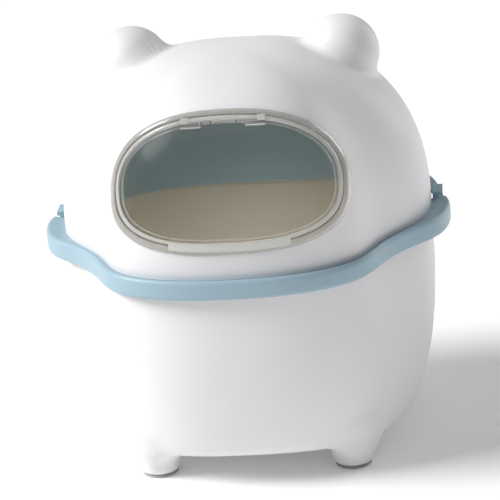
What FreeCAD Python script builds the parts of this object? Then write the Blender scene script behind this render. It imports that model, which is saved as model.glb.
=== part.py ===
import FreeCAD, Part
import math
import os
from FreeCAD import Placement, Rotation, Vector

# Hooded cat litter box. The origin is on the floor under the middle of the box,
# +Z up, the entrance faces -Y and the grips are at +X and -X. Millimetres.

doc = FreeCAD.newDocument("LitterBox")
sheet = doc.addObject("Spreadsheet::Sheet", "Dims")

DIMENSIONS = [
    # plan of the seam between tub and hood
    ("body_width", 392.0), ("body_depth", 366.0),
    ("front_squareness", 2.25), ("back_squareness", 3.0),
    ("waist_depth", 0.177), ("waist_place", 0.54), ("waist_spread", 0.343),
    # levels above the floor
    ("seam_level", 238.0), ("tub_floor_level", 22.0), ("tub_rim_level", 232.0),
    # walls
    ("wall", 2.8), ("seat_gap", 0.3),
    # hood
    ("hood_rise", 190.0), ("crown_roundness", 2.32), ("front_roundness", 3.13),
    ("ear_reach", 40.0), ("ear_side", 111.0), ("ear_level", 165.0), ("ear_setback", 45.0),
    # tub
    ("tub_taper", 0.221), ("taper_bend", 3.25), ("tub_corner", 14.0), ("belly_arch", 9.0),
    ("foot_side", 102.0), ("foot_front", 106.0), ("foot_radius", 24.0),
    ("pad_radius", 19.0), ("pad_thick", 2.5),
    # litter pan and rim frame
    ("pan_gap", 3.5), ("pan_flange", 2.5),
    ("band_reach", 11.3), ("band_fall", 18.0), ("band_rise", 2.5),
    ("grip_reach", 9.6), ("grip_half", 50.0), ("grip_place", 5.0),
    ("guard_gap", 6.4), ("guard_wall", 2.4), ("guard_rise", 85.0), ("guard_sill", 10.0),
    ("guard_drop", 12.0),
    # entrance
    ("entry_slope", 29.6), ("entry_rise", 106.0), ("entry_inset", 177.5),
    ("entry_half_width", 121.5), ("entry_half_height", 71.0), ("entry_squareness", 2.5),
    ("frame_width", 10.5), ("frame_proud", 2.5), ("frame_depth", 6.0),
    ("flap_gap", 2.2), ("flap_thick", 2.4), ("hinge_drop", 16.5), ("hinge_place", 34.6),
    ("hinge_radius", 4.0), ("stop_lip", 4.8),
    ("hinge_pin_radius", 1.6), ("running_fit", 0.06),
    # side latches
    ("latch_place", 50.0), ("latch_length", 26.0), ("latch_top", 245.0),
    ("latch_thick", 7.4), ("latch_pin_radius", 1.5), ("latch_pivot_level", 233.0),
]

for row, (alias, value) in enumerate(DIMENSIONS, start=1):
    sheet.set("A%d" % row, alias)
    sheet.set("B%d" % row, str(value))
    sheet.setAlias("B%d" % row, alias)
doc.recompute()


def dim(alias):
    """Value of one driving dimension."""
    return float(sheet.get(alias))


# ---------------------------------------------------------------- shared curves

def signed_power(value, power):
    return math.copysign(abs(value) ** power, value)


def waist(along):
    """Share of the half-width left at a place along the depth (-1 front, 1 back)."""
    step = (along + dim("waist_place")) / dim("waist_spread")
    return 1.0 - dim("waist_depth") * math.exp(-step * step)


def grip(y):
    """Extra reach of the rim frame at the side grips."""
    step = (y + dim("grip_place")) / dim("grip_half")
    return dim("grip_reach") * math.exp(-step ** 4)


def outline(half_x, front_y, back_y, level, lobes=0.0, pinch=1.0, count=44):
    """Closed smooth plan curve: rounded, with a waist near the front."""
    points = []
    for i in range(count):
        turn = 2.0 * math.pi * i / count
        c, s = math.cos(turn), math.sin(turn)
        squareness = dim("front_squareness") if s < 0 else dim("back_squareness")
        x = half_x * signed_power(c, 2.0 / squareness)
        along = signed_power(s, 2.0 / squareness)
        y = (front_y if s < 0 else back_y) * along
        x *= 1.0 - pinch * (1.0 - waist(along))
        if lobes:
            x += math.copysign(lobes * grip(y) * min(1.0, abs(x) / 60.0), x)
        points.append(Vector(x, y, level))
    curve = Part.BSplineCurve()
    curve.interpolate(points, PeriodicFlag=True)
    return Part.Wire(curve.toShape())


def rim_outline(offset, level, lobes=0.0):
    """The seam's plan curve, grown by an offset."""
    half_x = dim("body_width") / 2 + offset
    half_y = dim("body_depth") / 2 + offset
    return outline(half_x, half_y, half_y, level, lobes)


def rim_x(y, offset=0.0):
    """Half-width of the back half of the seam's plan curve at one y."""
    half_y = dim("body_depth") / 2 + offset
    power = dim("back_squareness")
    along = y / half_y
    half_x = (dim("body_width") / 2 + offset) * waist(along)
    return half_x * (1 - along ** power) ** (1 / power)


def solid_loft(wires, ruled=False):
    """Solid through a stack of closed curves, straight-sided or with cubic surfaces."""
    return Part.makeLoft(wires, True, ruled, False, 3)


# ---------------------------------------------------------------- hood surface

def crown(share, power):
    return max(0.0, 1.0 - share ** power) ** (1.0 / power)


def dome(offset, skirt=0.0):
    """Solid bounded by the hood's surface moved out by offset; skirt extends it down."""
    base = dim("seam_level")
    rise = dim("hood_rise") + offset
    half_x = dim("body_width") / 2 + offset
    half_y = dim("body_depth") / 2 + offset
    wires = []
    if skirt:
        wires.append(outline(half_x, half_y, half_y, base - skirt))
    for share in (0.0, 0.14, 0.28, 0.42, 0.55, 0.67, 0.78, 0.87, 0.93, 0.97, 0.99, 0.998):
        side = crown(share, dim("crown_roundness"))
        front = crown(share, dim("front_roundness"))
        wires.append(outline(half_x * side, half_y * front, half_y * side, base + rise * share))
    return solid_loft(wires)


def ears(offset):
    """Two round ears on the shoulders of the dome."""
    lobes = []
    for side in (-1, 1):
        centre = Vector(side * dim("ear_side"), dim("ear_setback"),
                        dim("seam_level") + dim("ear_level"))
        lobes.append(Part.makeSphere(dim("ear_reach") + offset, centre, Vector(side, 0, 1)))
    return lobes


def outside_of_dome(x, y, z, offset):
    """Positive outside the hood's surface moved out by offset."""
    share = (z - dim("seam_level")) / (dim("hood_rise") + offset)
    if share >= 0.999:
        return 1.0
    share = max(share, 0.0)
    front = y < 0
    power = dim("front_squareness") if front else dim("back_squareness")
    deep = (dim("body_depth") / 2 + offset) * crown(
        share, dim("front_roundness") if front else dim("crown_roundness"))
    wide = (dim("body_width") / 2 + offset) * crown(share, dim("crown_roundness"))
    wide *= waist(max(-1.0, min(1.0, y / deep)))
    return (abs(x) / wide) ** power + (abs(y) / deep) ** power - 1.0


# ------------------------------------------------------------ entrance geometry

def entry_placement():
    """Plane of the entrance: local X across, local Y up the slope, local Z outwards."""
    centre = Vector(0, -dim("entry_inset"), dim("seam_level") + dim("entry_rise"))
    return Placement(centre, Rotation(Vector(1, 0, 0), 90.0 - dim("entry_slope")))


def entry_prism(inset):
    """Block through the hood's front with the entrance's rounded outline."""
    half_x = dim("entry_half_width") - inset
    half_y = dim("entry_half_height") - inset
    power = dim("entry_squareness")
    points = []
    for i in range(40):
        turn = 2.0 * math.pi * i / 40
        points.append(Vector(half_x * signed_power(math.cos(turn), 2.0 / power),
                             half_y * signed_power(math.sin(turn), 2.0 / power), -95.0))
    curve = Part.BSplineCurve()
    curve.interpolate(points, PeriodicFlag=True)
    block = Part.Face(Part.Wire(curve.toShape())).extrude(Vector(0, 0, 190.0))
    block.Placement = entry_placement()
    return block


def on_hood(x, up, offset):
    """Point of the hood's surface reached along the entrance's outward direction."""
    place = entry_placement()
    low, high = -95.0, 95.0
    for _ in range(50):
        middle = (low + high) / 2
        p = place.multVec(Vector(x, up, middle))
        if outside_of_dome(p.x, p.y, p.z, offset) > 0:
            high = middle
        else:
            low = middle
    return place.multVec(Vector(x, up, low))


def hinge_line():
    """Depth and level of the flap's hinge, just under the top of the frame."""
    up = dim("entry_half_height") - dim("hinge_drop")
    point = on_hood(dim("hinge_place") - 5.0, up, -2.1)
    return point.y, point.z


def rod(x_from, x_to, radius, y, z):
    """Round bar along X."""
    return Part.makeCylinder(radius, x_to - x_from, Vector(x_from, y, z), Vector(1, 0, 0))


# ---------------------------------------------------------------- tub surface

def tub_solid(offset, top, waist_fade=0.9):
    """Solid bounded by the tub's surface moved in by offset, up to a level.

    The waist of the plan curve fades by waist_fade from the rim down to the floor.
    """
    floor = dim("tub_floor_level") + offset
    corner = dim("tub_corner") - offset
    rim = dim("tub_rim_level")
    levels = [floor + corner * share for share in (0.0, 0.03, 0.12, 0.3, 0.6, 1.0)]
    straight = levels[-1]
    levels += [straight + (top - straight) * share
               for share in (0.03, 0.08, 0.16, 0.28, 0.43, 0.6, 0.78, 1.0)]
    wires = []
    for level in levels:
        fall = min(1.0, max(0.0, (rim - level) / rim))
        grow = 1.0 - dim("tub_taper") * fall ** dim("taper_bend")
        under = max(0.0, corner - (level - floor))
        inset = corner - math.sqrt(max(0.0, corner * corner - under * under))
        half_x = dim("body_width") / 2 * grow - offset - inset
        half_y = dim("body_depth") / 2 * grow - offset - inset
        wires.append(outline(half_x, half_y, half_y, level, pinch=1.0 - waist_fade * fall))
    return solid_loft(wires).cut(belly(offset))


def belly(offset):
    """Block under the tub's arched underside, moved up by offset."""
    floor, rise = dim("tub_floor_level") + offset, dim("belly_arch")
    half = dim("foot_side") + dim("foot_radius")
    radius = (half * half + rise * rise) / (2 * rise)
    return Part.makeCylinder(radius, 600.0, Vector(0, -300.0, floor + rise - radius),
                             Vector(0, 1, 0))


# ---------------------------------------------------------------- sub-parts

def feature(name, shape):
    obj = doc.addObject("Part::Feature", name)
    obj.Label = name
    obj.Shape = shape
    obj.Placement = Placement()
    return obj


def make_tub_shell():
    """White outer tub: tapering wall, rounded bottom and four short feet."""
    body = tub_solid(0.0, dim("tub_rim_level"))
    foot_base = dim("pad_thick")
    radius, floor = dim("foot_radius"), dim("tub_floor_level")
    for side in (-1, 1):
        for end in (-1, 1):
            side_curve = Part.BSplineCurve()
            side_curve.interpolate([Vector(radius - 3.0, 0, foot_base + 3.0),
                                    Vector(radius - 0.5, 0, floor - 6.0),
                                    Vector(radius + 3.0, 0, floor + 4.0),
                                    Vector(radius + 9.0, 0, floor + 16.0)])
            corner = Vector(radius - 6.0, 0, foot_base)
            edges = [Part.makeLine(Vector(0, 0, floor + 16.0), Vector(0, 0, foot_base)),
                     Part.makeLine(Vector(0, 0, foot_base), corner),
                     Part.makeLine(corner, Vector(radius - 3.0, 0, foot_base + 3.0)),
                     side_curve.toShape(),
                     Part.makeLine(Vector(radius + 9.0, 0, floor + 16.0),
                                   Vector(0, 0, floor + 16.0))]
            foot = Part.Face(Part.Wire(edges)).revolve(Vector(0, 0, 0), Vector(0, 0, 1), 360)
            foot.translate(Vector(side * dim("foot_side"), end * dim("foot_front"), 0))
            body = body.fuse(foot)
    cavity = tub_solid(dim("wall"), dim("tub_rim_level") + 1.0)
    return feature("tub_shell", body.cut(cavity))


def make_foot_pads():
    """Soft pads under the four feet."""
    pads = []
    for side, side_word in ((-1, "left"), (1, "right")):
        for end, end_word in ((-1, "front"), (1, "rear")):
            pad = doc.addObject("Part::Cylinder", "foot_pad_%s_%s" % (end_word, side_word))
            pad.Label = pad.Name
            pad.setExpression("Radius", "Dims.pad_radius")
            pad.setExpression("Height", "Dims.pad_thick")
            pad.setExpression(".Placement.Base.x", "%d * Dims.foot_side" % side)
            pad.setExpression(".Placement.Base.y", "%d * Dims.foot_front" % end)
            pads.append(pad)
    return pads


def make_litter_pan():
    """Removable pan that lines the tub and hangs on the tub's rim.

    Its waist runs down to its floor unchanged, so that it lifts straight out.
    """
    gap = dim("wall") + dim("pan_gap")
    thick = dim("wall") - 0.4
    low = dim("tub_rim_level") + dim("seat_gap")
    high = low + dim("pan_flange")
    flange = solid_loft([rim_outline(0.0, low), rim_outline(0.0, high)], True)
    body = tub_solid(gap, high, 0.0).fuse(flange)
    return feature("litter_pan", body.cut(tub_solid(gap + thick, high + 1.0, 0.0)))


def latch_seat(side):
    """Box-shaped cheeks that carry a latch, and the slot the latch turns in."""
    place, length = dim("latch_place"), dim("latch_length")
    inner = rim_x(place - length / 2 - 4.5) + 0.6
    outer = inner + dim("latch_thick") + 3.4
    low = dim("seam_level") - dim("band_fall")
    block = Part.makeBox(outer - inner, length + 9.0, dim("seam_level") + 1.0 - low,
                         Vector(inner, place - length / 2 - 4.5, low))
    slot = Part.makeBox(outer - inner + 14.0, length + 1.0, 60.0,
                        Vector(inner - 2.0, place - length / 2 - 0.5, low + 3.5))
    if side < 0:
        block = block.mirror(Vector(0, 0, 0), Vector(1, 0, 0))
        slot = slot.mirror(Vector(0, 0, 0), Vector(1, 0, 0))
    return block, slot


def latch_axis():
    """Distance of the latch's hinge from the middle of the box."""
    inner = rim_x(dim("latch_place") - dim("latch_length") / 2) + 1.2
    return inner + dim("latch_thick") / 2


def make_rim_frame():
    """Blue frame: rounded outer band with side grips, ledge and splash wall.

    The splash wall rises inside the hood and reaches a little down into the pan.
    """
    seam = dim("seam_level") - dim("seat_gap")
    ledge = dim("tub_rim_level") + dim("seat_gap") + dim("pan_flange")
    low = dim("seam_level") - dim("band_fall")
    top = dim("seam_level") + dim("band_rise")
    reach = dim("band_reach")
    body = solid_loft([rim_outline(reach - 2.0, low, 1.0), rim_outline(reach - 0.4, low + 1.2, 1.0),
                       rim_outline(reach, low + 4.0, 1.0), rim_outline(reach, top - 5.0, 1.0),
                       rim_outline(reach - 0.9, top - 1.6, 1.0),
                       rim_outline(reach - 2.6, top, 1.0)], True)
    gutter = solid_loft([rim_outline(3.6, seam), rim_outline(7.4, top + 1.0, 0.8)], True)
    hollow = solid_loft([rim_outline(reach - 2.6, low - 1.0, 1.0),
                         rim_outline(reach - 2.6, ledge, 1.0)], True)
    wall_out = -dim("wall") - dim("guard_gap")
    wall_in = wall_out - dim("guard_wall")
    edge = wall_out - dim("guard_wall") / 2
    throat = solid_loft([rim_outline(edge, low - 2.0), rim_outline(edge, top + 2.0)], True)
    body = body.cut(gutter).cut(hollow).cut(throat)
    drop = dim("seam_level") - ledge + dim("guard_drop")
    guard = dome(wall_out, drop).cut(dome(wall_in, drop + 10.0))
    half, level = dim("body_depth"), dim("seam_level")
    sill, rise = level + dim("guard_sill"), level + dim("guard_rise")
    front = -dim("body_depth") * 0.30
    profile = Part.makePolygon([Vector(-300, -half, sill), Vector(-300, front, sill),
                                Vector(-300, front * 0.35, rise), Vector(-300, half, rise),
                                Vector(-300, half, level + 400), Vector(-300, -half, level + 400),
                                Vector(-300, -half, sill)])
    guard = guard.cut(Part.Face(profile).extrude(Vector(600, 0, 0)))
    body = body.fuse(guard)
    for side in (-1, 1):
        block, slot = latch_seat(side)
        body = body.fuse(block).cut(slot)
        bore = Part.makeCylinder(dim("latch_pin_radius") + 0.02, dim("latch_length") + 12.0,
                                 Vector(side * latch_axis(),
                                        dim("latch_place") - dim("latch_length") / 2 - 6.0,
                                        dim("latch_pivot_level")), Vector(0, 1, 0))
        body = body.cut(bore)
    return feature("rim_frame", body)


def make_hood_shell():
    """White domed hood with two ears and the entrance cut through its front."""
    outer, inner = dome(0.0), dome(-dim("wall"), 2.0)
    for ear in ears(0.0):
        outer = outer.fuse(ear)
    for ear in ears(-dim("wall")):
        inner = inner.fuse(ear)
    body = outer.cut(inner).cut(entry_prism(-0.15))
    return feature("hood_shell", body)


def entry_box(x_from, x_to, low, high):
    """Square-cut block through the hood's front, low and high measured up the slope."""
    block = Part.makeBox(x_to - x_from, high - low, 190.0, Vector(x_from, low, -95.0))
    block.Placement = entry_placement()
    return block


def span_at(hand, near, far):
    return (near, far) if hand > 0 else (-far, -near)


def make_entry_frame():
    """Clear frame set into the entrance, with a stop lip behind and two hinge lugs."""
    deep = -dim("frame_depth")
    layer = dome(dim("frame_proud"), 5.0).cut(dome(deep, 10.0))
    width = dim("frame_width")
    body = entry_prism(0.0).cut(entry_prism(width + dim("stop_lip"))).common(layer)
    rebate = entry_prism(width).cut(dome(-1.5 - dim("flap_thick"), 10.0))
    body = body.cut(rebate)
    y, z = hinge_line()
    axis_up = dim("entry_half_height") - dim("hinge_drop")
    place = dim("hinge_place")
    body = body.cut(rod(-place - 12.0, place + 12.0, dim("hinge_radius") + 1.0, y, z))
    arm_layer = dome(0.9, 5.0).cut(dome(-4.6, 10.0))
    for hand in (-1, 1):
        near, far = span_at(hand, place, place + 8.0)
        arm = entry_box(near, far, axis_up, axis_up + 9.0).common(arm_layer)
        lug = arm.fuse(rod(near, far, dim("hinge_radius"), y, z))
        body = body.fuse(lug)
        body = body.cut(rod(near - 1, far + 1, dim("hinge_pin_radius") + 0.02, y, z))
    return feature("entry_frame", body)


def make_entry_flap():
    """Clear swinging flap, curved with the hood, with two knuckles at its top."""
    layer = dome(-0.9, 5.0).cut(dome(-0.9 - dim("flap_thick"), 10.0))
    body = entry_prism(dim("frame_width") + dim("flap_gap")).common(layer)
    y, z = hinge_line()
    place = dim("hinge_place")
    axis_up = dim("entry_half_height") - dim("hinge_drop")
    pin = dim("hinge_pin_radius") + dim("running_fit")
    wide = dim("entry_half_width")
    body = body.cut(entry_box(-wide, wide, axis_up + 2.5, axis_up + 60.0))
    for hand in (-1, 1):
        near, far = span_at(hand, place - 0.7, place + 8.7)
        body = body.cut(entry_box(near, far, axis_up - 5.2, axis_up + 12.0))
        near, far = span_at(hand, place - 12.0, place - 0.7)
        body = body.fuse(rod(near, far, dim("hinge_radius"), y, z))
        body = body.cut(rod(near - 3, far + 3, pin, y, z))
    return feature("entry_flap", body)


def make_flap_pins():
    """Short steel pins through the flap's knuckles and the frame's lugs."""
    y, z = hinge_line()
    for hand, word in ((-1, "left"), (1, "right")):
        pin = doc.addObject("Part::Cylinder", "flap_pin_" + word)
        pin.Label = pin.Name
        pin.setExpression("Radius", "Dims.hinge_pin_radius")
        pin.Height = 20.0
        start, _ = span_at(hand, dim("hinge_place") - 12.0, dim("hinge_place") + 8.0)
        pin.Placement = Placement(Vector(start, y, z), Rotation(Vector(0, 1, 0), 90))


def make_entry_sill():
    """Clear strip set on the lower edge of the entrance frame."""
    layer = dome(dim("frame_proud") + 1.6, 5.0).cut(dome(dim("frame_proud") + 0.05, 10.0))
    half_x, half_y = dim("entry_half_width"), dim("entry_half_height")
    strip = Part.makeBox(half_x * 1.02, 7.5, 190.0, Vector(-half_x * 0.51, -half_y + 2.2, -95.0))
    strip.Placement = entry_placement()
    return feature("entry_sill", strip.common(layer))


def make_latch(side, word):
    """Side latch: upright lever on a pin, with a thumb lip at its top."""
    place, length = dim("latch_place"), dim("latch_length")
    axis, thick = latch_axis(), dim("latch_thick")
    low = dim("latch_pivot_level")
    inner = axis - thick / 2 if side > 0 else -axis - thick / 2

    lever = doc.addObject("Part::Box", "lever_" + word)
    lever.Length = thick
    lever.setExpression("Width", "Dims.latch_length")
    lever.setExpression("Height", "Dims.latch_top - Dims.latch_pivot_level")
    lever.Placement = Placement(Vector(inner, place - length / 2, low), Rotation())

    lip = doc.addObject("Part::Box", "thumb_lip_" + word)
    lip.Length = thick + 3.0
    lip.setExpression("Width", "Dims.latch_length")
    lip.Height = 4.0
    lip_x = inner if side > 0 else inner - 3.0
    lip.Placement = Placement(Vector(lip_x, place - length / 2, dim("latch_top") - 4.0),
                              Rotation())

    barrel = doc.addObject("Part::Cylinder", "barrel_" + word)
    barrel.Radius = thick / 2
    barrel.setExpression("Height", "Dims.latch_length")
    barrel.Placement = Placement(Vector(side * axis, place + length / 2, low),
                                 Rotation(Vector(1, 0, 0), 90))

    bore = doc.addObject("Part::Cylinder", "latch_bore_" + word)
    bore.setExpression("Radius", "Dims.latch_pin_radius + Dims.running_fit")
    bore.setExpression("Height", "Dims.latch_length + 4")
    bore.Placement = Placement(Vector(side * axis, place + length / 2 + 2, low),
                               Rotation(Vector(1, 0, 0), 90))

    joined = doc.addObject("Part::MultiFuse", "latch_solid_" + word)
    joined.Shapes = [lever, lip, barrel]
    latch = doc.addObject("Part::Cut", "latch_" + word)
    latch.Base = joined
    latch.Tool = bore
    latch.Label = latch.Name

    pin = doc.addObject("Part::Cylinder", "latch_pin_" + word)
    pin.Label = pin.Name
    pin.setExpression("Radius", "Dims.latch_pin_radius")
    pin.setExpression("Height", "Dims.latch_length + 8")
    pin.Placement = Placement(Vector(side * axis, place + length / 2 + 4, low),
                              Rotation(Vector(1, 0, 0), 90))


make_tub_shell()
make_foot_pads()
make_litter_pan()
make_rim_frame()
make_hood_shell()
make_entry_frame()
make_entry_flap()
make_flap_pins()
make_entry_sill()
make_latch(-1, "left")
make_latch(1, "right")
doc.recompute()

NODES = ["tub_shell", "foot_pad_front_left", "foot_pad_front_right", "foot_pad_rear_left",
         "foot_pad_rear_right", "litter_pan", "rim_frame", "hood_shell", "entry_frame",
         "entry_flap", "flap_pin_left", "flap_pin_right", "entry_sill", "latch_left",
         "latch_right", "latch_pin_left", "latch_pin_right"]

for obj in doc.Objects:
    if "Invalid" in obj.State or "Error" in obj.State:
        raise RuntimeError("%s did not build: %s" % (obj.Label, obj.State))
for name in NODES:
    shape = doc.getObject(name).Shape
    if shape.isNull() or not shape.isValid():
        raise RuntimeError("%s has no valid shape" % name)
    if len(shape.Solids) != 1:
        raise RuntimeError("%s has %d solids" % (name, len(shape.Solids)))

os.makedirs("parts", exist_ok=True)
for name in NODES:
    doc.getObject(name).Shape.exportStep("parts/%s.step" % name)
    box = doc.getObject(name).Shape.BoundBox
    print("%-22s x %7.1f %7.1f  y %7.1f %7.1f  z %7.1f %7.1f" % (
        name, box.XMin, box.XMax, box.YMin, box.YMax, box.ZMin, box.ZMax))
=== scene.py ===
import math

import bmesh
import bpy
import numpy as np
from mathutils import Matrix, Vector


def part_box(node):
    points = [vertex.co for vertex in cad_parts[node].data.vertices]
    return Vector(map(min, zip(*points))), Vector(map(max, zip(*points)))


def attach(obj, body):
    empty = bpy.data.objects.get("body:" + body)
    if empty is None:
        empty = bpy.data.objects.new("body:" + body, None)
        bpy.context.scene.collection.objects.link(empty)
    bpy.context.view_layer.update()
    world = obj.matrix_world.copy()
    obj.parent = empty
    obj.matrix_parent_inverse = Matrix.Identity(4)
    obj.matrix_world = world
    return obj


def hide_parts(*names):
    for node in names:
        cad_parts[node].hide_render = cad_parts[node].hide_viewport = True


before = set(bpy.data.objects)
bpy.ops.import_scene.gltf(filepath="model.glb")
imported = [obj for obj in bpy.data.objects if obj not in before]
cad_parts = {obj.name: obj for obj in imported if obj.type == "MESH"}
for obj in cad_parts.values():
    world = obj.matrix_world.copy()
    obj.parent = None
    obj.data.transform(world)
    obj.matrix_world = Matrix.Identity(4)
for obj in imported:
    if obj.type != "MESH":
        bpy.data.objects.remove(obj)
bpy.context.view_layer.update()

# ------------------------------------------------------------------ sizes, metres
SEAM = 0.238                  # level of the seam between rim frame and hood
HALF_WIDE, HALF_DEEP = 0.196, 0.183
FRONT_POWER, BACK_POWER = 2.25, 3.0
WAIST_DEPTH, WAIST_PLACE, WAIST_SPREAD = 0.177, 0.54, 0.343
WALL = 0.0028
HOOD_RISE, CROWN_POWER, FACE_POWER = 0.190, 2.32, 3.13
EAR_RADIUS, EAR_SIDE, EAR_BACK, EAR_UP = 0.040, 0.111, 0.045, 0.165
EAR_FILLET = 0.013
TUB_FLOOR, TUB_RIM, TUB_TAPER, TAPER_BEND, TUB_CORNER = 0.022, 0.232, 0.221, 3.25, 0.014
BELLY_ARCH, WAIST_FADE = 0.009, 0.9
TUB_VOXEL, TUB_SPARE = 0.0042, 0.014    # blending grid; height trimmed off above the rim
FOOT_SIDE, FOOT_FRONT, FOOT_RADIUS, FOOT_BASE = 0.102, 0.106, 0.024, 0.0025
FOOT_TOP, FOOT_LEAN, FOOT_EDGE, FOOT_BLEND = 0.050, 0.14, 0.006, 0.016
FOOT_DRAFT = 0.003            # how much slimmer a foot is at its base
PAD_RADIUS = 0.019
PAN_GAP, PAN_WALL, PAN_FLANGE = 0.0063, 0.0024, SEAM - 0.0057
BAND_FALL, BAND_RISE = 0.018, 0.0025
GRIP_REACH, GRIP_HALF, GRIP_PLACE = 0.0096, 0.050, 0.005
GUARD_OUT, GUARD_IN = -0.0092, -0.0116
GUARD_RISE, GUARD_SILL, GUARD_DROP = 0.085, 0.010, 0.012
GUARD_LIP = 0.0007            # rounding of the splash wall's upper edge
GUARD_FRONT, GUARD_BACK = -0.60 * HALF_DEEP, -0.21 * HALF_DEEP    # where it rises, in depth
LATCH_PLAY, LATCH_DEPTH, LATCH_CHEEK = 0.0006, 0.0108, 0.0045     # block round each latch
ENTRY_SLOPE = math.radians(29.6)
ENTRY_CENTRE = np.array([0.0, -0.1775, SEAM + 0.106])
ENTRY_WIDE, ENTRY_HIGH, ENTRY_POWER = 0.1215, 0.071, 2.5
ENTRY_REACH = 0.095           # search depth either side of the entrance's plane
FRAME_WIDTH, FLAP_GAP = 0.0105, 0.0022
RING_ZONES = (0.0055, 0.0069, FRAME_WIDTH + 0.0001)    # insets of bead, groove, inner bead; the groove's finish is painted shade, the inner bead's is a painted highlight
SILL_HALF = 0.0615
HINGE_DROP, HINGE_PLACE, KNUCKLE_RADIUS = 0.0165, 0.0346, 0.004
HINGE_SINK, HINGE_BORE, HINGE_RELIEF = 0.0021, 0.0017, 0.005
LUG_LENGTH, KNUCKLE_LENGTH, LUG_PLAY = 0.008, 0.012, 0.0007
FLAP_FRONT, FLAP_BACK, FLAP_TRIM = -0.0009, -0.0033, 0.0025


# ------------------------------------------------------------------ shared curves
def signed_power(value, power):
    """Power that keeps the sign of its base."""
    return np.sign(value) * np.abs(value) ** power


def waist(along):
    """Share of the full width left at a place along the depth."""
    return 1.0 - WAIST_DEPTH * np.exp(-((along + WAIST_PLACE) / WAIST_SPREAD) ** 2)


def plan(turn, half_x, half_y, pinch=1.0, lobes=0.0):
    """Points of the plan curve at the given turns."""
    c, s = np.cos(turn), np.sin(turn)
    power = np.where(s < 0, FRONT_POWER, BACK_POWER)
    x = half_x * signed_power(c, 2.0 / power)
    along = signed_power(s, 2.0 / power)
    y = half_y * along
    x = x * (1.0 - pinch * (1.0 - waist(along)))
    grip = GRIP_REACH * np.exp(-((y + GRIP_PLACE) / GRIP_HALF) ** 4)
    x = x + np.sign(x) * lobes * grip * np.minimum(1.0, np.abs(x) / 0.06)
    return x, y


def crown(share, power):
    """Share of the half-size left at a share of the hood's rise."""
    return np.maximum(0.0, 1.0 - np.clip(share, 0, 1) ** power) ** (1.0 / power)


def dome_points(turn, share, offset):
    """Points of the hood's surface moved out by an offset."""
    side = crown(share, CROWN_POWER)
    deep = np.where(np.sin(turn) < 0, crown(share, FACE_POWER), side)
    x, y = plan(turn, (HALF_WIDE + offset) * side, (HALF_DEEP + offset) * deep)
    return x, y, SEAM + (HOOD_RISE + offset) * share


def outside_dome(x, y, z, offset):
    """Above zero outside the hood's surface moved out by an offset."""
    share = (z - SEAM) / (HOOD_RISE + offset)
    above = share >= 0.9995
    share = np.clip(share, 0.0, 0.9995)
    front = y < 0
    power = np.where(front, FRONT_POWER, BACK_POWER)
    side = crown(share, CROWN_POWER)
    deep = (HALF_DEEP + offset) * np.where(front, crown(share, FACE_POWER), side)
    wide = (HALF_WIDE + offset) * side
    along = np.clip(y / deep, -1, 1)
    wide = wide * waist(along)
    value = (np.abs(x) / wide) ** power + (np.abs(y) / deep) ** power - 1.0
    return np.where(above, 1.0, value)


ENTRY_UP = np.array([0.0, math.sin(ENTRY_SLOPE), math.cos(ENTRY_SLOPE)])
ENTRY_OUT = np.array([0.0, -math.cos(ENTRY_SLOPE), math.sin(ENTRY_SLOPE)])


def skin_between(low, high, value, rounds):
    """Reach between low and high at which a shape's value turns positive."""
    for _ in range(rounds):
        middle = (low + high) / 2
        out = value(middle) > 0
        high = np.where(out, middle, high)
        low = np.where(out, low, middle)
    return low


def on_hood(x, up, offset):
    """Points on the hood reached along the entrance's outward direction."""
    x, up, offset = np.broadcast_arrays(x, up, offset)

    def along(out):
        return (ENTRY_CENTRE[1] + up * ENTRY_UP[1] + out * ENTRY_OUT[1],
                ENTRY_CENTRE[2] + up * ENTRY_UP[2] + out * ENTRY_OUT[2])

    reach = skin_between(np.full(x.shape, -ENTRY_REACH), np.full(x.shape, ENTRY_REACH),
                         lambda out: outside_dome(x, *along(out), offset), 40)
    return np.stack([x, *along(reach)], -1)


def entry_edge(turn, inset):
    """The entrance's outline, across and up the slope."""
    x = (ENTRY_WIDE - inset) * signed_power(np.cos(turn), 2.0 / ENTRY_POWER)
    up = (ENTRY_HIGH - inset) * signed_power(np.sin(turn), 2.0 / ENTRY_POWER)
    return x, up


def entry_level(points, inset):
    """1 on the entrance's outline, less inside it."""
    local = points - ENTRY_CENTRE
    x, up = points[:, 0], local @ ENTRY_UP
    level = ((np.abs(x) / (ENTRY_WIDE - inset)) ** ENTRY_POWER
             + (np.abs(up) / (ENTRY_HIGH - inset)) ** ENTRY_POWER) ** (1 / ENTRY_POWER)
    return x, up, np.where(local @ ENTRY_OUT < -0.09, 9.0, level)


def even_turns(curve, count):
    """Turns that space points evenly along a closed curve."""
    fine = np.linspace(0, 2 * math.pi, 4001)
    points = np.stack(curve(fine), -1)
    steps = np.linalg.norm(np.diff(points, axis=0), axis=1)
    length = np.concatenate([[0], np.cumsum(steps)])
    return np.interp(np.arange(count) / count * length[-1], length, fine)


# ------------------------------------------------------------------ mesh helpers
def make_object(name, points, faces, material, sharp=None):
    """Clean closed mesh from points and faces, normals outwards."""
    mesh = bpy.data.meshes.new(name)
    mesh.from_pydata([tuple(map(float, p)) for p in points], [],
                     [tuple(map(int, f)) for f in faces])
    mesh.update()
    bm = bmesh.new()
    bm.from_mesh(mesh)
    bmesh.ops.remove_doubles(bm, verts=bm.verts, dist=1e-7)
    bmesh.ops.dissolve_degenerate(bm, edges=bm.edges, dist=1e-7)
    bmesh.ops.recalc_face_normals(bm, faces=bm.faces)
    bm.to_mesh(mesh)
    bm.free()
    obj = bpy.data.objects.new(name, mesh)
    bpy.context.scene.collection.objects.link(obj)
    mesh.materials.append(material)
    smooth(obj, sharp)
    return obj


def smooth(obj, sharp=None):
    """Shade smooth, but keep edges sharper than an angle in degrees."""
    mesh = obj.data
    for face in mesh.polygons:
        face.use_smooth = True
    if sharp:
        mesh.set_sharp_from_angle(angle=math.radians(sharp))


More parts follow.
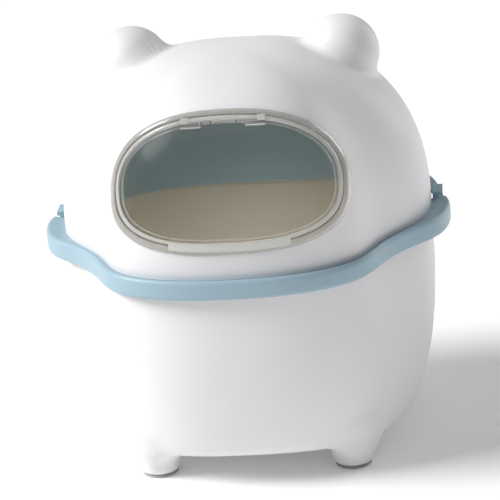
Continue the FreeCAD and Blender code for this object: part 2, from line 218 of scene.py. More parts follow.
def paint(obj, *finishes):
    obj.data.materials.clear()
    for finish in finishes:
        obj.data.materials.append(finish)


def paint_zones(obj, zones):
    """Give each face the finish whose number stands in zones."""
    for face, zone in zip(obj.data.polygons, zones):
        face.material_index = int(zone)


def face_middles(obj):
    return np.array([face.center for face in obj.data.polygons])


def close_ends(faces, rows, columns, count):
    """Fan the first and last row to the last two of count points."""
    last = (rows - 1) * columns
    for c in range(columns):
        d = (c + 1) % columns
        faces.append((c, d, count - 2))
        faces.append((last + c, last + d, count - 1))


def grid_faces(rows, columns, close_rows=False):
    """Quads between rows of points; each row is a closed loop."""
    faces = []
    for r in range(rows if close_rows else rows - 1):
        s = (r + 1) % rows
        for c in range(columns):
            d = (c + 1) % columns
            faces.append((r * columns + c, r * columns + d, s * columns + d, s * columns + c))
    return faces


def bake(obj):
    """Replace an object's mesh by what its modifiers make of it."""
    shown = obj.evaluated_get(bpy.context.evaluated_depsgraph_get())
    mesh = bpy.data.meshes.new_from_object(shown)
    obj.modifiers.clear()
    obj.data = mesh
    return obj


def thicken(obj, wall, round_edge):
    """Give a sheet a wall on its inside, with rounded edges."""
    skin = obj.modifiers.new("wall", "SOLIDIFY")
    skin.thickness, skin.offset, skin.use_even_offset = wall, -1.0, True
    edge = obj.modifiers.new("edge", "BEVEL")
    edge.width, edge.segments, edge.limit_method = round_edge, 3, "ANGLE"
    edge.angle_limit = math.radians(50)
    return bake(obj)


def object_from(name, bm, material):
    mesh = bpy.data.meshes.new(name)
    bm.to_mesh(mesh)
    bm.free()
    obj = bpy.data.objects.new(name, mesh)
    bpy.context.scene.collection.objects.link(obj)
    mesh.materials.append(material)
    return obj


def box_mesh(name, low, high, material, edge):
    """Closed box between two corners, with its edges rounded by edge."""
    bm = bmesh.new()
    bmesh.ops.create_cube(bm, size=1.0)
    low, high = Vector(low), Vector(high)
    for v in bm.verts:
        v.co = Vector([low[i] + (v.co[i] + 0.5) * (high[i] - low[i]) for i in range(3)])
    obj = object_from(name, bm, material)
    if edge:
        bevel = obj.modifiers.new("edge", "BEVEL")
        bevel.width, bevel.segments = edge, 4
        bake(obj)
    return obj


def carve(obj, tool, how="DIFFERENCE"):
    """Cut a tool out of an object, or join it on; the tool is used up."""
    cut = obj.modifiers.new("carve", "BOOLEAN")
    cut.operation, cut.object, cut.solver = how, tool, "EXACT"
    bake(obj)
    bpy.data.objects.remove(tool)
    return obj


# ------------------------------------------------------------------ finishes
def new_material(name):
    material = bpy.data.materials.new(name)
    material.use_nodes = True
    nodes = material.node_tree.nodes
    return material, nodes, material.node_tree.links, nodes["Principled BSDF"]


def noise_of(nodes, links, scale, detail=2.0):
    """Noise laid on an object's own coordinates."""
    place, noise = nodes.new("ShaderNodeTexCoord"), nodes.new("ShaderNodeTexNoise")
    noise.inputs["Scale"].default_value = scale
    noise.inputs["Detail"].default_value = detail
    links.new(place.outputs["Object"], noise.inputs["Vector"])
    return noise.outputs["Fac"]


def vary_roughness(nodes, links, shader, noise, least, most):
    gloss = nodes.new("ShaderNodeMapRange")
    gloss.inputs["To Min"].default_value = least
    gloss.inputs["To Max"].default_value = most
    links.new(noise, gloss.inputs["Value"])
    links.new(gloss.outputs["Result"], shader.inputs["Roughness"])


def moulded_plastic(name, colour, rough, grain=0.035, mottle=0.03):
    """Matte injection-moulded plastic: spark-eroded grain and slight mottling."""
    material, nodes, links, shader = new_material(name)
    fine = noise_of(nodes, links, 1400.0, 3.0)
    broad = noise_of(nodes, links, 9.0)
    tint = nodes.new("ShaderNodeMix")
    tint.data_type = "RGBA"
    tint.inputs["A"].default_value = (*[c * (1 - mottle) for c in colour], 1)
    tint.inputs["B"].default_value = (*[min(1, c * (1 + mottle)) for c in colour], 1)
    links.new(broad, tint.inputs["Factor"])
    links.new(tint.outputs["Result"], shader.inputs["Base Color"])
    vary_roughness(nodes, links, shader, broad, rough - 0.05, rough + 0.07)
    bump = nodes.new("ShaderNodeBump")
    bump.inputs["Strength"].default_value = grain * 10
    bump.inputs["Distance"].default_value = 0.00006
    links.new(fine, bump.inputs["Height"])
    links.new(bump.outputs["Normal"], shader.inputs["Normal"])
    shader.inputs["Specular IOR Level"].default_value = 0.45
    return material


def clear_plastic(name, colour, rough, clarity, body, ior, coat=1.0):
    """Clear polished plastic with faint flow marks; body is how much of it shows."""
    material, nodes, links, shader = new_material(name)
    shader.inputs["Base Color"].default_value = (*colour, 1)
    shader.inputs["Transmission Weight"].default_value = clarity
    shader.inputs["IOR"].default_value = ior
    shader.inputs["Alpha"].default_value = body
    shader.inputs["Coat Weight"].default_value = coat
    shader.inputs["Specular IOR Level"].default_value = 0.1 + 0.5 * coat
    shader.inputs["Coat Roughness"].default_value = 0.02
    flow = noise_of(nodes, links, 18.0)
    vary_roughness(nodes, links, shader, flow, rough, rough + 0.03)
    return material


def drawn_steel(name):
    material, nodes, links, shader = new_material(name)
    shader.inputs["Base Color"].default_value = (0.62, 0.62, 0.63, 1)
    shader.inputs["Metallic"].default_value = 1.0
    vary_roughness(nodes, links, shader, noise_of(nodes, links, 2500.0), 0.22, 0.38)
    return material


white = moulded_plastic("white_plastic", (0.82, 0.81, 0.825), 0.46)
blue = moulded_plastic("blue_plastic", (0.34, 0.48, 0.56), 0.40, grain=0.03)
# Pan finish: a warm tint is painted into its colour for the warm bounce light in the shade inside
# the hood.
pan_warm_bounce_tint = moulded_plastic("cream_plastic", (0.66, 0.62, 0.53), 0.5)
clear = clear_plastic("clear_plastic", (0.76, 0.745, 0.71), 0.04, 0.5, 0.74, 1.42)
# Groove of the entrance ring: a darker finish that is painted shade in the groove.
groove_painted_shade = clear_plastic("clear_plastic_groove_painted_shade", (0.36, 0.35, 0.34), 0.05, 0.4, 0.75, 1.42, 0.3)
# Inner bead of the ring and the sill strip: a lighter finish that is a painted highlight along
# these edges.
painted_highlight_clear = clear_plastic("clear_plastic_painted_highlight", (0.90, 0.90, 0.885), 0.04, 0.4, 0.75, 1.42)
film = clear_plastic("clear_flap_plastic", (0.97, 0.97, 0.97), 0.05, 1.0, 0.10, 1.3, 0.0)
# Edge of the flap: a lighter, less see-through finish that paints a highlight line round the
# flap.
flap_rim_painted_highlight = clear_plastic("clear_flap_rim_painted_highlight", (0.92, 0.92, 0.91), 0.04, 0.5, 0.28, 1.42)
rubber = moulded_plastic("grey_rubber", (0.42, 0.42, 0.41), 0.75, grain=0.06)
steel = drawn_steel("steel_wire")


# ------------------------------------------------------------------ hood
def soft_union(a, b, size):
    """Smaller of two distances, with a fillet of about the given size."""
    blend = np.clip(0.5 + 0.5 * (b - a) / size, 0, 1)
    return b * (1 - blend) + a * blend - size * blend * (1 - blend)


def hood_reach(directions, centre, reach):
    """The dome's reach, grown over the ears with a soft fillet."""
    def grown(middle):
        p = centre + directions * middle[:, None]
        value = middle - reach
        for side in (-1, 1):
            ear = np.array([side * EAR_SIDE, EAR_BACK, SEAM + EAR_UP])
            value = soft_union(value, np.linalg.norm(p - ear, axis=1) - EAR_RADIUS, EAR_FILLET)
        return value

    return skin_between(reach - 0.002, reach + 0.09, grown, 40)


def make_hood():
    """Dome with both ears grown out of it and the entrance cut through."""
    columns, rows = 288, 92
    turns = even_turns(lambda t: plan(t, HALF_WIDE, HALF_DEEP), columns)
    rise = np.linspace(0, math.pi / 2, rows + 1)[:-1]
    shares = np.sin(rise) ** (2 / CROWN_POWER)
    points = []
    for share in shares:
        x, y, z = dome_points(turns, share, 0.0)
        points.append(np.stack([x, y, np.full_like(x, z)], -1))
    points = np.concatenate(points)
    points = np.vstack([points, [0, 0, SEAM + HOOD_RISE]])
    centre = np.array([0, 0, SEAM + 0.07])
    arm = points - centre
    length = np.linalg.norm(arm, axis=1)
    arm = arm / length[:, None]
    upper = points[:, 2] > SEAM + 0.06
    grown = length.copy()
    grown[upper] = hood_reach(arm[upper], centre, length[upper])
    points = centre + arm * grown[:, None]
    faces = grid_faces(rows, columns)
    top = len(points) - 1
    faces += [((rows - 1) * columns + c, (rows - 1) * columns + (c + 1) % columns, top)
              for c in range(columns)]
    points, faces = open_entrance(points, faces)
    hood = make_object("hood_dome", points, faces, white)
    thicken(hood, WALL, 0.0007)
    smooth(hood, 40)
    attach(hood, "hood")
    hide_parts("hood_shell")
    return hood


def open_entrance(points, faces):
    """Take the entrance out of the hood, with its edge points moved onto the outline."""
    across, up, level = entry_level(points, 0.0)
    triangles, kept = [], []
    for face in faces:
        near = [level[i] for i in face]
        if min(near) > 1.12:
            kept.append(face)
        elif len(face) == 4:
            triangles += [(face[0], face[1], face[2]), (face[0], face[2], face[3])]
        else:
            triangles.append(face)
    snapped = set()
    for tri in triangles:
        for a, b in ((0, 1), (1, 2), (2, 0)):
            i, j = tri[a], tri[b]
            if (level[i] < 1) != (level[j] < 1):
                snapped.add(i if abs(level[i] - 1) < abs(level[j] - 1) else j)
    index = np.array(sorted(snapped))
    points[index] = on_hood(across[index] / level[index], up[index] / level[index], 0.0)
    for tri in triangles:
        if all(i in snapped for i in tri):
            middle = sum(level[i] for i in tri) / 3
            if middle > 1:
                kept.append(tri)
        elif all(i in snapped or level[i] >= 1 for i in tri):
            kept.append(tri)
    used = sorted({i for face in kept for i in face})
    renumber = {old: new for new, old in enumerate(used)}
    return points[used], [tuple(renumber[i] for i in face) for face in kept]


# ------------------------------------------------------------------ tub
def belly(x):
    """Rise of the tub's arched underside above its lowest level."""
    half = FOOT_SIDE + FOOT_RADIUS
    return BELLY_ARCH * np.maximum(0.0, 1.0 - (x / half) ** 2)


def tub_half_sizes(z, waist_fade=WAIST_FADE):
    """Half-width, half-depth and share of the waist left at a level of the tub."""
    fall = np.clip((TUB_RIM - z) / TUB_RIM, 0, 1)
    grow = 1.0 - TUB_TAPER * fall ** TAPER_BEND
    return HALF_WIDE * grow, HALF_DEEP * grow, 1.0 - waist_fade * fall


def corner_inset(height, radius):
    """How far a rounded bottom edge stands in at a height above the floor."""
    under = np.clip(radius - height, 0, radius)
    return radius - np.sqrt(np.maximum(0, radius ** 2 - under ** 2))


def outside_tub(p):
    """Above zero outside the tub's plain body."""
    x, y, z = p[:, 0], p[:, 1], p[:, 2]
    wide, deep, pinch = tub_half_sizes(z)
    floor = TUB_FLOOR + belly(x)
    inset = corner_inset(z - floor, TUB_CORNER)
    wide, deep = wide - inset, deep - inset
    along = np.clip(y / deep, -1, 1)
    wide = wide * (1.0 - pinch * (1.0 - waist(along)))
    power = np.where(y < 0, FRONT_POWER, BACK_POWER)
    value = (np.abs(x) / wide) ** power + (np.abs(y) / deep) ** power - 1.0
    return np.where(z < floor, 1.0, value)


TUB_HEART = np.array([0.0, 0.0, 0.13])


def tub_distance(p):
    """Rough distance to the tub's outside, with its four feet blended in."""
    arm = p - TUB_HEART
    length = np.linalg.norm(arm, axis=1)
    arm = arm / np.maximum(length, 1e-9)[:, None]
    skin = skin_between(np.zeros(len(p)), np.full(len(p), 0.40),
                        lambda reach: outside_tub(TUB_HEART + arm * reach[:, None]), 34)
    value = length - skin
    flat = np.abs(arm[:, 2])
    value = value * np.where(p[:, 2] < TUB_FLOOR + 0.01, np.maximum(flat, 0.45), 0.9)
    for side in (-1, 1):
        for end in (-1, 1):
            radius = np.hypot(p[:, 0] - side * FOOT_SIDE, p[:, 1] - end * FOOT_FRONT)
            lean = FOOT_RADIUS - FOOT_DRAFT + (p[:, 2] - FOOT_BASE) * FOOT_LEAN
            wall = radius - lean + FOOT_EDGE
            base = FOOT_BASE + FOOT_EDGE - p[:, 2]
            roof = p[:, 2] - FOOT_TOP
            ends = np.maximum(base, roof)
            foot = (np.minimum(np.maximum(wall, ends), 0)
                    + np.hypot(np.maximum(wall, 0), np.maximum(ends, 0)) - FOOT_EDGE)
            value = soft_union(value, foot, FOOT_BLEND)
    return value


def make_tub():
    """Tapered body and four feet blended into one skin, then given its wall."""
    columns = 200
    levels = [TUB_FLOOR + TUB_CORNER * s for s in (0.0, 0.02, 0.08, 0.18, 0.32, 0.5, 0.75, 1.0)]
    levels += list(np.linspace(levels[-1], TUB_RIM, 14)[1:]) + [TUB_RIM + TUB_SPARE]
    turns = even_turns(lambda t: plan(t, HALF_WIDE, HALF_DEEP), columns)
    points = []
    for z in levels:
        wide, deep, pinch = tub_half_sizes(np.array(z))
        inset = corner_inset(z - TUB_FLOOR, TUB_CORNER)
        x, y = plan(turns, wide - inset, deep - inset, pinch)
        points.append(np.stack([x, y, np.full_like(x, z)], -1))
    count = len(levels)
    points = np.vstack(points + [[[0, 0, levels[0]], [0, 0, levels[-1]]]])
    faces = grid_faces(count, columns)
    for c in range(columns):
        d = (c + 1) % columns
        faces.append((c, count * columns, d))
        faces.append(((count - 1) * columns + c, (count - 1) * columns + d, count * columns + 1))
    base = len(points)
    round_steps = 40
    foot_points, ring = [], np.linspace(0, 2 * math.pi, round_steps + 1)[:-1]
    for side in (-1, 1):
        for end in (-1, 1):
            start = base + len(foot_points)
            for z, radius in ((FOOT_BASE, FOOT_RADIUS - FOOT_DRAFT),
                              (FOOT_TOP, FOOT_RADIUS + 0.002)):
                for t in ring:
                    foot_points.append((side * FOOT_SIDE + radius * math.cos(t),
                                        end * FOOT_FRONT + radius * math.sin(t), z))
            over = start + round_steps
            for c in range(round_steps):
                d = (c + 1) % round_steps
                faces.append((start + c, start + d, over + d, over + c))
            faces.append(tuple(start + c for c in reversed(range(round_steps))))
            faces.append(tuple(over + c for c in range(round_steps)))
    points = np.vstack([points, foot_points])
    tub = make_object("tub_body", points, faces, white)
    remesh = tub.modifiers.new("blend", "REMESH")
    remesh.mode, remesh.voxel_size = "VOXEL", TUB_VOXEL
    bake(tub)
    settle(tub.data, tub_distance, 6)
    bm = bmesh.new()
    bm.from_mesh(tub.data)
    bmesh.ops.bisect_plane(bm, geom=bm.verts[:] + bm.edges[:] + bm.faces[:],
                           plane_co=(0, 0, TUB_RIM), plane_no=(0, 0, 1), clear_outer=True)
    bmesh.ops.recalc_face_normals(bm, faces=bm.faces)
    bm.to_mesh(tub.data)
    bm.free()
    thicken(tub, WALL, 0.0006)
    paint(tub, white)
    smooth(tub, 45)
    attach(tub, "tub")
    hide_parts("tub_shell")
    return tub


def settle(mesh, distance, rounds):
    """Move a mesh's points onto the surface where distance is zero."""
    points = np.empty(len(mesh.vertices) * 3)
    mesh.vertices.foreach_get("co", points)
    points = points.reshape(-1, 3)
    step = 0.0004
    for _ in range(rounds):
        value = distance(points)
        slope = np.stack([(distance(points + step * axis) - value) / step
                          for axis in np.eye(3)], -1)
        size = np.maximum((slope ** 2).sum(1), 0.05)
        move = -(value / size)[:, None] * slope
        long = np.linalg.norm(move, axis=1)
        move *= np.minimum(1.0, 0.003 / np.maximum(long, 1e-9))[:, None]
        points = points + move
    mesh.vertices.foreach_set("co", points.ravel())
    mesh.update()


# ------------------------------------------------------------------ foot pads
def pad_tree():
    """Node tree that sets one rounded pad on each point it is given."""
    tree = bpy.data.node_groups.new("foot_pads", "GeometryNodeTree")
    face = tree.interface
    face.new_socket("Geometry", in_out="INPUT", socket_type="NodeSocketGeometry")
    for name in ("Pad radius", "Pad thickness"):
        face.new_socket(name, in_out="INPUT", socket_type="NodeSocketFloat")
    face.new_socket("Finish", in_out="INPUT", socket_type="NodeSocketMaterial")
    face.new_socket("Geometry", in_out="OUTPUT", socket_type="NodeSocketGeometry")
    nodes, link = tree.nodes, tree.links.new
    given, result = nodes.new("NodeGroupInput"), nodes.new("NodeGroupOutput")

    def maths(operation, first, second):
        node = nodes.new("ShaderNodeMath")
        node.operation = operation
        link(first, node.inputs[0])
        if isinstance(second, float):
            node.inputs[1].default_value = second
        else:
            link(second, node.inputs[1])
        return node.outputs[0]

    half = maths("MULTIPLY", given.outputs["Pad thickness"], 0.5)
    bead_run = maths("SUBTRACT", given.outputs["Pad radius"], half)
    disc = nodes.new("GeometryNodeMeshCylinder")
    disc.inputs["Vertices"].default_value = 72
    link(bead_run, disc.inputs["Radius"])
    link(given.outputs["Pad thickness"], disc.inputs["Depth"])
    path, bead, sweep = (nodes.new("GeometryNodeCurvePrimitiveCircle"),
                         nodes.new("GeometryNodeCurvePrimitiveCircle"),
                         nodes.new("GeometryNodeCurveToMesh"))
    path.inputs["Resolution"].default_value = 72
    bead.inputs["Resolution"].default_value = 20
    link(bead_run, path.inputs["Radius"])
    link(half, bead.inputs["Radius"])
    link(path.outputs["Curve"], sweep.inputs["Curve"])
    link(bead.outputs["Curve"], sweep.inputs["Profile Curve"])
    both, lift = nodes.new("GeometryNodeJoinGeometry"), nodes.new("GeometryNodeTransform")
    link(disc.outputs["Mesh"], both.inputs[0])
    link(sweep.outputs["Mesh"], both.inputs[0])
    place = nodes.new("ShaderNodeCombineXYZ")
    link(half, place.inputs["Z"])
    link(both.outputs[0], lift.inputs["Geometry"])
    link(place.outputs[0], lift.inputs["Translation"])
    each = nodes.new("GeometryNodeInstanceOnPoints")
    solid = nodes.new("GeometryNodeRealizeInstances")
    paint = nodes.new("GeometryNodeSetMaterial")
    link(given.outputs["Geometry"], each.inputs["Points"])
    link(lift.outputs[0], each.inputs["Instance"])
    link(each.outputs[0], solid.inputs[0])
    link(solid.outputs[0], paint.inputs["Geometry"])
    link(given.outputs["Finish"], paint.inputs["Material"])
    link(paint.outputs[0], result.inputs[0])
    return tree


def make_foot_pads():
    """Soft pads under the four feet, one mesh for the tub."""
    mesh = bpy.data.meshes.new("foot_pads")
    mesh.from_pydata([(side * FOOT_SIDE, end * FOOT_FRONT, 0.0)
                      for side in (-1, 1) for end in (-1, 1)], [], [])
    pads = bpy.data.objects.new("foot_pads", mesh)
    bpy.context.scene.collection.objects.link(pads)
    tree = pad_tree()
    sockets = {item.name: item.identifier for item in tree.interface.items_tree
               if item.in_out == "INPUT"}
    growth = pads.modifiers.new("pads", "NODES")
    growth.node_group = tree
    growth[sockets["Pad radius"]] = PAD_RADIUS
    growth[sockets["Pad thickness"]] = FOOT_BASE
    growth[sockets["Finish"]] = rubber
    bake(pads)
    smooth(pads, 50)
    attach(pads, "tub")
    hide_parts(*["foot_pad_%s_%s" % (end, side)
                        for end in ("front", "rear") for side in ("left", "right")])
    return pads


# ------------------------------------------------------------------ rim frame
def make_rim_frame():
    """Band, grips, ledge and splash wall swept round the plan curve."""
    columns = 420
    turns = even_turns(lambda t: plan(t, HALF_WIDE, HALF_DEEP, lobes=1.0), columns)
    ledge, seat = SEAM - 0.0032, SEAM - 0.0003
    low, top = SEAM - BAND_FALL, SEAM + BAND_RISE
    foot = ledge - GUARD_DROP
    # Reach outwards in millimetres, level in metres.
    outer = [(3.0, seat), (3.5, seat + 0.0001), (4.1, seat + 0.0005), (5.2, seat + 0.0015),
             (6.3, top - 0.0006), (7.2, top - 0.0001), (8.1, top), (9.1, top - 0.0004),
             (10.1, top - 0.0014), (10.8, top - 0.0028), (11.2, top - 0.0045),
             (11.3, top - 0.0065), (11.3, low + 0.0055), (11.2, low + 0.0035),
             (10.8, low + 0.0016), (10.2, low + 0.0004), (9.5, low), (8.9, low + 0.0004),
             (8.7, low + 0.0014), (8.7, ledge - 0.002), (7.9, ledge - 0.0004), (6.4, ledge),
             (-8.9, ledge), (-9.2, ledge - 0.0003), (-9.2, foot + 0.0006), (-9.5, foot),
             (-11.3, foot)]
    rows = []
    x0, y0 = plan(turns, HALF_WIDE, HALF_DEEP)
    for reach, level in outer:
        part = min(1.0, max(0.0, (reach - 3.4) / 4.0))
        x, y = plan(turns, HALF_WIDE + reach / 1000, HALF_DEEP + reach / 1000, lobes=part)
        rows.append(np.stack([x, y, np.full_like(x, level)], -1))
    lift = guard_top(y0)
    inside = []
    for side, order in ((GUARD_IN, 1), (GUARD_OUT, -1)):
        wall = []
        for part in np.linspace(0.0, 1.0, 16):
            start = foot + 0.0003 if side == GUARD_IN else seat
            level = start + (lift - start) * part
            edge = side
            if part == 1.0:
                level = lift
                edge = side + (GUARD_LIP if side == GUARD_IN else -GUARD_LIP)
            elif part > 0.93:
                level = lift - 0.0006
            x, y, _ = dome_points(turns, np.maximum(0, level - SEAM) / (HOOD_RISE + side), edge)
            wall.append(np.stack([x, y, level], -1))
        inside += wall[::order]
    rows += inside
    points = np.concatenate(rows)
    rim = make_object("rim_band", points, grid_faces(len(rows), columns, True), blue)
    for side in (-1, 1):
        seat_block, slot = latch_room(side)
        carve(rim, seat_block, "UNION")
        carve(rim, slot)
    paint(rim, blue)
    smooth(rim, 38)
    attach(rim, "frame")
    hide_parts("rim_frame")
    return rim


def guard_top(y):
    """Level of the splash wall's upper edge at each depth."""
    share = np.clip((y - GUARD_FRONT) / (GUARD_BACK - GUARD_FRONT), 0, 1)
    share = share * share * (3 - 2 * share)
    return SEAM + GUARD_SILL + (GUARD_RISE - GUARD_SILL) * share


def latch_room(side):
    """Block added to the grip round a latch, and the slot cut for its lever."""
    low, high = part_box("latch_right" if side > 0 else "latch_left")
    inner = (low[0] if side > 0 else -high[0]) - LATCH_PLAY
    outer = inner + LATCH_DEPTH
    first, last = low[1] - LATCH_CHEEK, high[1] + LATCH_CHEEK
    base = SEAM - BAND_FALL
    xs = sorted((side * inner, side * outer))
    block = box_mesh("cheeks", (xs[0], first, base), (xs[1], last, SEAM + 0.001), blue, 0.0012)
    xs = sorted((side * (inner - 0.002), side * (outer + 0.014)))
    slot = box_mesh("slot", (xs[0], first + 0.004, base + 0.0035),
                    (xs[1], last - 0.004, base + 0.0635), blue, 0)
    return block, slot


# ------------------------------------------------------------------ litter pan
def make_litter_pan():
    """Pan that lines the tub, with a flange that hangs under the rim frame."""
    columns = 240
    gap, thick, flange = PAN_GAP, PAN_WALL, PAN_FLANGE
    turns = even_turns(lambda t: plan(t, HALF_WIDE, HALF_DEEP), columns)

    def shell(inset, base, top, corner):
        rows = []
        for level in [base + corner * s for s in (0, 0.02, 0.08, 0.18, 0.32, 0.5, 0.75)] + list(
                np.linspace(base + corner, top, 16)):
            wide, deep, pinch = tub_half_sizes(level, 0.0)
            rounding = inset + corner_inset(level - base, corner)
            x, y = plan(turns, wide - rounding, deep - rounding, pinch)
            rows.append(np.stack([x, y, np.maximum(level, base + belly(x))], -1))
        floor = []
        for scale in (0.2, 0.4, 0.6, 0.8, 0.93):
            x, y = rows[0][:, 0] * scale, rows[0][:, 1] * scale
            floor.append(np.stack([x, y, base + belly(x)], -1))
        return floor + rows

    outside = shell(gap, TUB_FLOOR + gap, flange - 0.0005, TUB_CORNER - gap)
    lip = []
    for reach, level in ((-0.0055, flange), (-0.0012, flange), (-0.0004, flange + 0.0004),
                         (0.0, flange + 0.00125), (-0.0004, flange + 0.0021),
                         (-0.0012, flange + 0.0025), (-0.0075, flange + 0.0025)):
        x, y = plan(turns, HALF_WIDE + reach, HALF_DEEP + reach)
        lip.append(np.stack([x, y, np.full_like(x, level)], -1))
    inside = shell(gap + thick, TUB_FLOOR + gap + thick, flange + 0.0013,
                   TUB_CORNER - gap - thick)[::-1]
    rows = outside + lip + inside
    points = np.concatenate(rows)
    faces = grid_faces(len(rows), columns)
    middle = TUB_FLOOR + BELLY_ARCH + gap
    points = np.vstack([points, [0, 0, middle], [0, 0, middle + thick]])
    close_ends(faces, len(rows), columns, len(points))
    # The pan takes the warm tint painted in for bounce light in shade.
    pan = make_object("pan_tray", points, faces, pan_warm_bounce_tint, 45)
    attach(pan, "frame")
    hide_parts("litter_pan")
    return pan


# ------------------------------------------------------------------ entrance
AXIS_UP = ENTRY_HIGH - HINGE_DROP
HINGE = on_hood(np.array([HINGE_PLACE - 0.005]), np.array([AXIS_UP]), np.array([-HINGE_SINK]))[0]


def hinge_rod(name, first, last, radius):
    """Closed round bar along the flap's hinge line."""
    bm = bmesh.new()
    turn = Matrix.Rotation(math.pi / 2, 4, "Y")
    place = Matrix.Translation(((first + last) / 2, HINGE[1], HINGE[2]))
    bmesh.ops.create_cone(bm, cap_ends=True, segments=40, radius1=radius, radius2=radius,
                          depth=abs(last - first), matrix=place @ turn)
    return object_from(name, bm, clear)


def slope_block(name, first, last, up_low, up_high, out_low, out_high):
    """Box lying in the slope of the entrance, measured from the hinge line."""
    obj = box_mesh(name, (first, up_low, out_low), (last, up_high, out_high), clear, 0)
    start = Matrix.Translation((0, HINGE[1], HINGE[2]))
    lean = Matrix.Rotation(math.pi / 2 - ENTRY_SLOPE, 4, "X")
    obj.data.transform(start @ lean)
    return obj


def make_entry_frame():
    """Clear frame: rounded lip outside, rebate and stop lip inside."""
    columns = 300
    turns = even_turns(lambda t: entry_edge(t, 0.0), columns)
    # Inset from the entrance's edge and offset from the hood, in millimetres.
    profile = [(0.2, -6.0), (0.15, -3.0), (0.15, 0.2), (-0.6, 0.4), (-1.0, 1.0), (-0.7, 1.8),
               (0.3, 2.4), (1.8, 2.7), (3.6, 2.6), (4.8, 2.1), (5.3, 1.3), (5.5, 0.4),
               (5.9, 0.1), (6.4, 0.4), (6.7, 1.2), (7.5, 1.8), (8.8, 1.8), (9.9, 1.3),
               (10.4, 0.5), (10.5, -0.3), (10.5, -3.2), (10.8, -3.8), (11.4, -3.9), (14.4, -3.9),
               (15.1, -4.2), (15.2, -4.9), (15.0, -5.7), (14.2, -6.0), (7.0, -6.0)]
    rows = []
    for inset, offset in profile:
        x, up = entry_edge(turns, inset / 1000)
        rows.append(on_hood(x, up, offset / 1000))
    ring = make_object("entry_ring", np.concatenate(rows),
                       grid_faces(len(rows), columns, True), clear, 50)
    reach = HINGE_PLACE + KNUCKLE_LENGTH
    carve(ring, hinge_rod("relief", -reach, reach, HINGE_RELIEF))
    for side in (-1, 1):
        near, far = side * HINGE_PLACE, side * (HINGE_PLACE + LUG_LENGTH)
        arm = slope_block("arm", min(near, far), max(near, far), 0.0, 0.009, -0.0024, 0.0028)
        carve(ring, arm, "UNION")
        carve(ring, hinge_rod("lug", near, far, KNUCKLE_RADIUS), "UNION")
        carve(ring, hinge_rod("bore", near - side * 0.001, far + side * 0.001, HINGE_BORE))
    smooth(ring, 50)
    # Outer bead keeps the clear finish; the groove is painted darker as shade and the inner bead
    # lighter as a painted highlight; the rebate behind takes the flap film.
    paint(ring, clear, groove_painted_shade, painted_highlight_clear, film)
    middles = face_middles(ring)
    paint_zones(ring, sum((entry_level(middles, inset)[2] < 1).astype(int)
                          for inset in RING_ZONES))
    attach(ring, "hood")
    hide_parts("entry_frame")
    return ring


def make_sill():
    """Clear strip lying on the ring's lower edge and following its curve."""
    columns = 90
    profile = [(1.3, 2.74), (1.2, 3.2), (1.6, 3.7), (2.6, 4.0), (4.6, 4.05), (6.6, 3.9),
               (7.8, 3.6), (8.3, 3.2), (8.2, 2.74)]
    x = SILL_HALF * np.sin(np.linspace(-math.pi / 2, math.pi / 2, columns))
    rows = []
    for inset, offset in profile:
        drop = 1.0 - (np.abs(x) / (ENTRY_WIDE - inset / 1000)) ** ENTRY_POWER
        up = -(ENTRY_HIGH - inset / 1000) * drop ** (1.0 / ENTRY_POWER)
        rows.append(on_hood(x, up, offset / 1000))
    count = len(rows)
    faces = grid_faces(count, columns, True)
    faces = [face for face in faces if abs(face[0] % columns - face[1] % columns) == 1]
    faces.append(tuple(r * columns for r in range(count)))
    faces.append(tuple(r * columns + columns - 1 for r in range(count)))
    # The strip takes the lighter finish: a painted highlight along the ring's lower edge.
    sill = make_object("sill_strip", np.concatenate(rows), faces, painted_highlight_clear, 50)
    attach(sill, "hood")
    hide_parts("entry_sill")
    return sill


def flap_edge(turn, inset):
    """The flap's outline, trimmed flat just above its hinge line."""
    x, up = entry_edge(turn, FRAME_WIDTH + FLAP_GAP + inset)
    return x, np.minimum(up, AXIS_UP + FLAP_TRIM - inset)


def make_flap():
    """Clear sheet that follows the hood, with two knuckles at its top."""
    columns = 220
    turns = even_turns(lambda t: flap_edge(t, 0.0), columns)
    rows = []
    scales = np.append(np.linspace(0.02, 0.985, 26), 1.0)
    for scale in scales:
        x, up = flap_edge(turns, 0.0002)
        rows.append(on_hood(x * scale, up * scale, FLAP_FRONT))
    for inset, offset in ((0.00005, -0.0010), (0.0, -0.0013), (0.0, -0.0029), (0.00005, -0.0032)):
        x, up = flap_edge(turns, inset)
        rows.append(on_hood(x, up, offset))
    for scale in scales[::-1]:
        x, up = flap_edge(turns, 0.0002)
        rows.append(on_hood(x * scale, up * scale, FLAP_BACK))
    points = np.concatenate(rows)
    middle = on_hood(np.zeros(2), np.zeros(2), np.array([FLAP_FRONT, FLAP_BACK]))
    points = np.vstack([points, middle])
    faces = grid_faces(len(rows), columns)
    close_ends(faces, len(rows), columns, len(points))
    flap = make_object("flap_sheet", points, faces, film, 50)
    for side in (-1, 1):
        near, far = side * (HINGE_PLACE - LUG_PLAY), side * (HINGE_PLACE + LUG_LENGTH + LUG_PLAY)
        carve(flap, slope_block("notch", min(near, far), max(near, far),
                                -0.0052, 0.012, -0.02, 0.02))
        near, far = side * (HINGE_PLACE - KNUCKLE_LENGTH), side * (HINGE_PLACE - LUG_PLAY)
        carve(flap, hinge_rod("knuckle", near, far, KNUCKLE_RADIUS), "UNION")
        carve(flap, hinge_rod("bore", near - side * 0.003, far + side * 0.003, HINGE_BORE))
    smooth(flap, 50)
    # The flap's outermost faces take the lighter rim finish, a painted highlight line.
    paint(flap, film, flap_rim_painted_highlight)
    paint_zones(flap, entry_level(face_middles(flap), FRAME_WIDTH + FLAP_GAP)[2] > 0.988)
    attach(flap, "flap")
    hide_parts("entry_flap")
    return flap


make_hood()
make_tub()
make_foot_pads()
make_rim_frame()
make_litter_pan()
make_entry_frame()
make_sill()
make_flap()

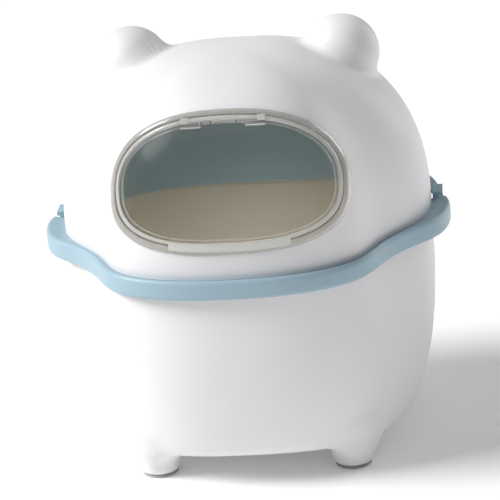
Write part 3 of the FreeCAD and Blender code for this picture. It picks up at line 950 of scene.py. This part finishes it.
CARRIED = {"flap_pin_left": steel, "flap_pin_right": steel, "latch_left": blue,
           "latch_right": blue, "latch_pin_left": steel, "latch_pin_right": steel}
for node, finish in CARRIED.items():
    paint(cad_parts[node], finish)


# ------------------------------------------------------------------ studio
def make_floor():
    mesh = bpy.data.meshes.new("floor")
    half = 25.0
    mesh.from_pydata([(-half, -half, 0), (half, -half, 0), (half, half, 0), (-half, half, 0)],
                     [], [(0, 1, 2, 3)])
    floor = bpy.data.objects.new("floor", mesh)
    bpy.context.scene.collection.objects.link(floor)
    material, nodes, links, shader = new_material("studio_floor")
    shader.inputs["Base Color"].default_value = (0.96, 0.96, 0.96, 1)
    shader.inputs["Roughness"].default_value = 0.9
    shader.inputs["Emission Color"].default_value = (1, 1, 1, 1)
    shader.inputs["Emission Strength"].default_value = 0.07
    mesh.materials.append(material)


def area_light(name, place, aim, size, power, spread=180):
    """Round soft lamp pointing at a place; spread is its beam angle in degrees."""
    lamp = bpy.data.lights.new(name, "AREA")
    lamp.shape, lamp.size, lamp.energy = "DISK", size, power
    lamp.spread = math.radians(spread)
    obj = bpy.data.objects.new(name, lamp)
    obj.location = place
    obj.rotation_euler = (Vector(aim) - Vector(place)).to_track_quat("-Z", "Y").to_euler()
    bpy.context.scene.collection.objects.link(obj)


def sun_light(name, toward, power, spread):
    """Wide distant lamp; spread is its angle in degrees."""
    lamp = bpy.data.lights.new(name, "SUN")
    lamp.energy, lamp.angle = power, math.radians(spread)
    obj = bpy.data.objects.new(name, lamp)
    obj.rotation_euler = Vector(toward).to_track_quat("Z", "Y").to_euler()
    bpy.context.scene.collection.objects.link(obj)


def make_camera():
    azimuth, elevation, roll = math.radians(6.0), math.radians(19.44), math.radians(5.01)
    distance, lens = 3.2575, 221.3
    back = Vector((math.sin(azimuth) * math.cos(elevation),
                   -math.cos(azimuth) * math.cos(elevation), math.sin(elevation)))
    camera = bpy.data.objects.new("camera", bpy.data.cameras.new("camera"))
    camera.data.lens, camera.data.sensor_width = lens, 36.0
    aim = Vector((0.0012, 0.0, 0.2036))
    turn = (-back).to_track_quat("-Z", "Y").to_matrix()
    turn = turn @ Matrix.Rotation(-roll, 3, Vector((0, 0, 1)))
    camera.matrix_world = turn.to_4x4()
    camera.location = aim + back * distance
    bpy.context.scene.collection.objects.link(camera)
    bpy.context.scene.camera = camera


make_floor()
make_camera()
world = bpy.data.worlds.new("studio")
world.use_nodes = True
world.node_tree.nodes["Background"].inputs["Color"].default_value = (1, 1, 1, 1)
world.node_tree.nodes["Background"].inputs["Strength"].default_value = 0.27
bpy.context.scene.world = world
sun_light("key", (-0.77, -0.14, 0.63), 3.55, 30)
area_light("back_rim", (1.7, 1.5, 1.0), (0, 0, 0.25), 1.25, 12)
# The thin white hood lets some light through to the pan.
area_light("hood_glow", (0, 0.02, SEAM + 0.145), (0, 0.02, 0), 0.15, 0.25, spread=80)
bpy.context.scene.view_settings.view_transform = "Standard"
